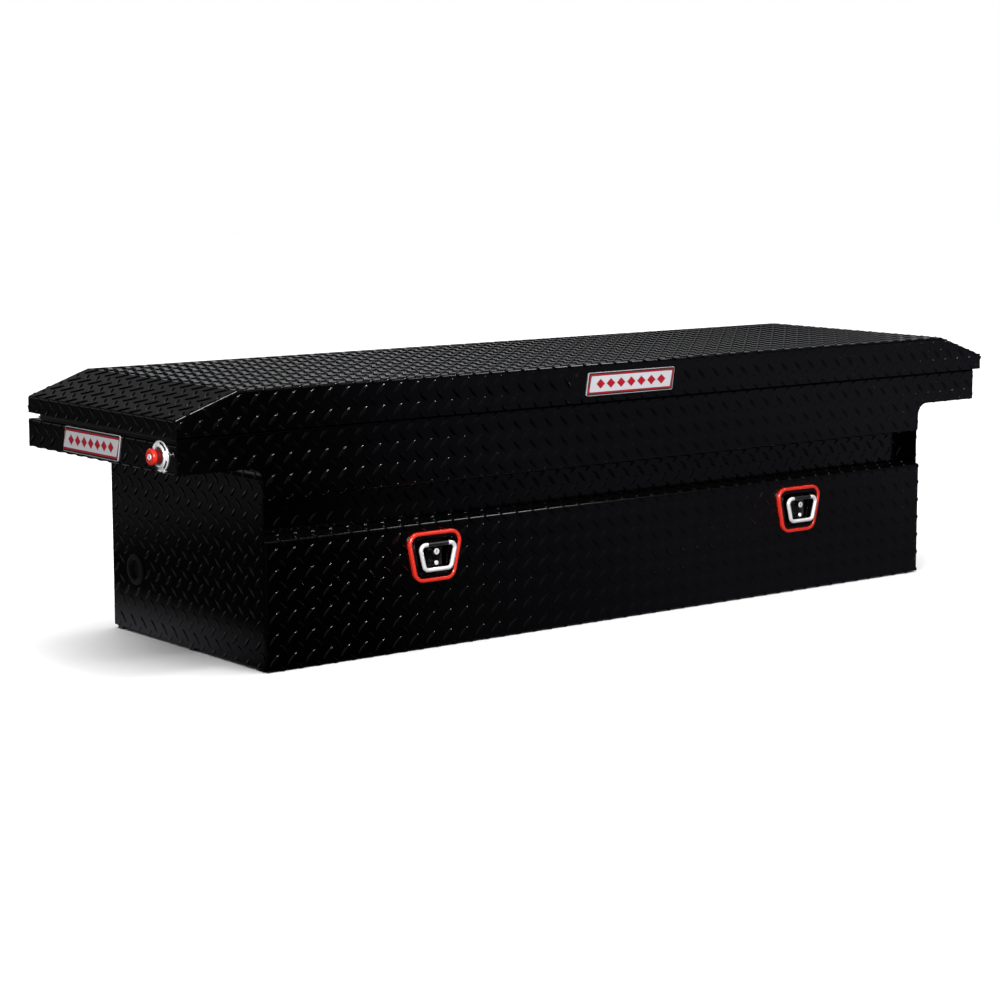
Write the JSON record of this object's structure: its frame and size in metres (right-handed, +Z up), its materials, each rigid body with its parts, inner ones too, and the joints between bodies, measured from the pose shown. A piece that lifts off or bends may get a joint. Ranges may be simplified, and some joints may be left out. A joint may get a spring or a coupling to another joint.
{
  "type": "truck tool box",
  "caption": "Crossbed truck tool box of black tread plate: hinged lid with sloping ends on gas struts, wings that rest on the bed rails, and a full-width lower drawer with locking handles.",
  "frame": {"origin": "the floor plane under the box, at the middle of the middle base runner's underside, below the centre of the lid", "axes": "+X along the box to the right seen from the drawer side, +Y from the drawer side to the lid hinge, +Z up"},
  "size_m": [1.827, 0.4955, 0.451],
  "materials": {
    "black_tread_plate": "gloss black powder coat on tread plate",
    "smooth_black_sheet": "satin black powder coat on smooth sheet",
    "red_enamel": "gloss red enamel",
    "black_plastic": "satin moulded",
    "rubber": "matt",
    "stainless": "polished stainless steel",
    "zinc_plate": "bright zinc plate",
    "silver_plate": "satin silver"
  },
  "bodies": {
    "tub": {"left_end_panel": "black_tread_plate", "right_end_panel": "black_tread_plate", "front_panel": "black_tread_plate", "rear_panel": "black_tread_plate", "weather_rim": "smooth_black_sheet", "upper_floor": "smooth_black_sheet", "floor_pan": "smooth_black_sheet", "front_runner": "smooth_black_sheet", "middle_runner": "smooth_black_sheet", "rear_runner": "smooth_black_sheet", "side_plug": "rubber", "tub_hinge_leaf": "smooth_black_sheet", "hinge_pin": "stainless", "wing_badge": "silver_plate", "lock_escutcheon": "stainless", "lock_housing": "zinc_plate", "left_rod_guide": "zinc_plate", "right_rod_guide": "zinc_plate", "left_strut_bracket": "zinc_plate", "right_strut_bracket": "zinc_plate", "left_slide_outer": "zinc_plate", "right_slide_outer": "zinc_plate"},
    "lid": {"lid_shell": "black_tread_plate", "lid_inner_panel": "smooth_black_sheet", "lid_seal": "rubber", "lid_hinge_leaf": "smooth_black_sheet", "lid_badge": "silver_plate", "left_striker": "zinc_plate", "right_striker": "zinc_plate", "left_lid_bracket": "zinc_plate", "right_lid_bracket": "zinc_plate"},
    "lock_button": {"lock_button": "red_enamel"},
    "key_cylinder": {"key_cylinder": "stainless"},
    "latch_rod": {"latch_rod": "zinc_plate", "left_latch_hook": "zinc_plate", "right_latch_hook": "zinc_plate"},
    "drawer": {"drawer_front": "black_tread_plate", "drawer_tray": "smooth_black_sheet", "left_slide_inner": "zinc_plate", "right_slide_inner": "zinc_plate", "left_handle_bezel": "red_enamel", "right_handle_bezel": "red_enamel", "left_handle_dish": "black_plastic", "right_handle_dish": "black_plastic", "left_handle_pin": "black_plastic", "right_handle_pin": "black_plastic", "left_handle_stud": "stainless", "right_handle_stud": "stainless"},
    "left_strut_rod": {"left_strut_rod": "stainless"},
    "left_strut_tube": {"left_strut_tube": "smooth_black_sheet"},
    "left_slide_middle": {"left_slide_middle": "zinc_plate"},
    "left_handle_bail": {"left_handle_bail": "stainless"},
    "left_handle_key": {"left_handle_key": "stainless"},
    "left_latch_bolt": {"left_latch_bolt": "zinc_plate"},
    "right_strut_rod": {"right_strut_rod": "stainless"},
    "right_strut_tube": {"right_strut_tube": "smooth_black_sheet"},
    "right_slide_middle": {"right_slide_middle": "zinc_plate"},
    "right_handle_bail": {"right_handle_bail": "stainless"},
    "right_handle_key": {"right_handle_key": "stainless"},
    "right_latch_bolt": {"right_latch_bolt": "zinc_plate"}
  },
  "joints": [
    {"name": "lid_hinge", "type": "hinge", "parent": "tub", "child": "lid", "pos_m": [0, 0.24, 0.3775], "axis": [-1, 0, 0], "range_deg": [0, 80]},
    {"name": "lock_button_press", "type": "slide", "parent": "tub", "child": "lock_button", "axis": [1, 0, 0], "range_m": [0, 0.008]},
    {"name": "lock_key_turn", "type": "hinge", "parent": "lock_button", "child": "key_cylinder", "pos_m": [-0.912, -0.176, 0.352], "axis": [1, 0, 0], "range_deg": [0, 90]},
    {"name": "latch_rod_slide", "type": "slide", "parent": "tub", "child": "latch_rod", "axis": [1, 0, 0], "range_m": [0, 0.008]},
    {"name": "drawer_slide", "type": "slide", "parent": "tub", "child": "drawer", "axis": [0, -1, 0], "range_m": [0, 0.4]},
    {"name": "left_strut_pivot", "type": "hinge", "parent": "tub", "child": "left_strut_rod", "pos_m": [-0.86, 0.2, 0.345], "axis": [-1, 0, 0], "range_deg": [0, 81]},
    {"name": "left_strut_stroke", "type": "slide", "parent": "left_strut_rod", "child": "left_strut_tube", "axis": [0, -0.9866, 0.1632], "range_m": [0, 0.075]},
    {"name": "left_slide_travel", "type": "slide", "parent": "tub", "child": "left_slide_middle", "axis": [0, -1, 0], "range_m": [0, 0.2]},
    {"name": "left_bail_swing", "type": "hinge", "parent": "drawer", "child": "left_handle_bail", "pos_m": [-0.418, -0.241, 0.1755], "axis": [-1, 0, 0], "range_deg": [0, 60]},
    {"name": "left_bolt_slide", "type": "slide", "parent": "drawer", "child": "left_latch_bolt", "axis": [1, 0, 0], "range_m": [0, 0.0105]},
    {"name": "left_key_turn", "type": "hinge", "parent": "drawer", "child": "left_handle_key", "pos_m": [-0.418, -0.22, 0.1625], "axis": [0, 1, 0], "range_deg": [0, 90]},
    {"name": "right_strut_pivot", "type": "hinge", "parent": "tub", "child": "right_strut_rod", "pos_m": [0.86, 0.2, 0.345], "axis": [-1, 0, 0], "range_deg": [0, 81]},
    {"name": "right_strut_stroke", "type": "slide", "parent": "right_strut_rod", "child": "right_strut_tube", "axis": [0, -0.9866, 0.1632], "range_m": [0, 0.075]},
    {"name": "right_slide_travel", "type": "slide", "parent": "tub", "child": "right_slide_middle", "axis": [0, -1, 0], "range_m": [0, 0.2]},
    {"name": "right_bail_swing", "type": "hinge", "parent": "drawer", "child": "right_handle_bail", "pos_m": [0.418, -0.241, 0.1755], "axis": [-1, 0, 0], "range_deg": [0, 60]},
    {"name": "right_bolt_slide", "type": "slide", "parent": "drawer", "child": "right_latch_bolt", "axis": [-1, 0, 0], "range_m": [0, 0.0105]},
    {"name": "right_key_turn", "type": "hinge", "parent": "drawer", "child": "right_handle_key", "pos_m": [0.418, -0.22, 0.1625], "axis": [0, 1, 0], "range_deg": [0, 90]}
  ],
  "couplings": [
    {"joint": "latch_rod_slide", "follows": "lock_button_press", "ratio": 1},
    {"joint": "left_strut_pivot", "follows": "lid_hinge", "ratio": 1.0038},
    {"joint": "left_strut_stroke", "follows": "lid_hinge", "m_per_rad": 0.04744},
    {"joint": "left_slide_travel", "follows": "drawer_slide", "ratio": 0.5},
    {"joint": "left_bolt_slide", "follows": "left_bail_swing", "m_per_rad": 0.0095},
    {"joint": "right_strut_pivot", "follows": "lid_hinge", "ratio": 1.0038},
    {"joint": "right_strut_stroke", "follows": "lid_hinge", "m_per_rad": 0.04744},
    {"joint": "right_slide_travel", "follows": "drawer_slide", "ratio": 0.5},
    {"joint": "right_bolt_slide", "follows": "right_bail_swing", "m_per_rad": 0.0095}
  ]
}
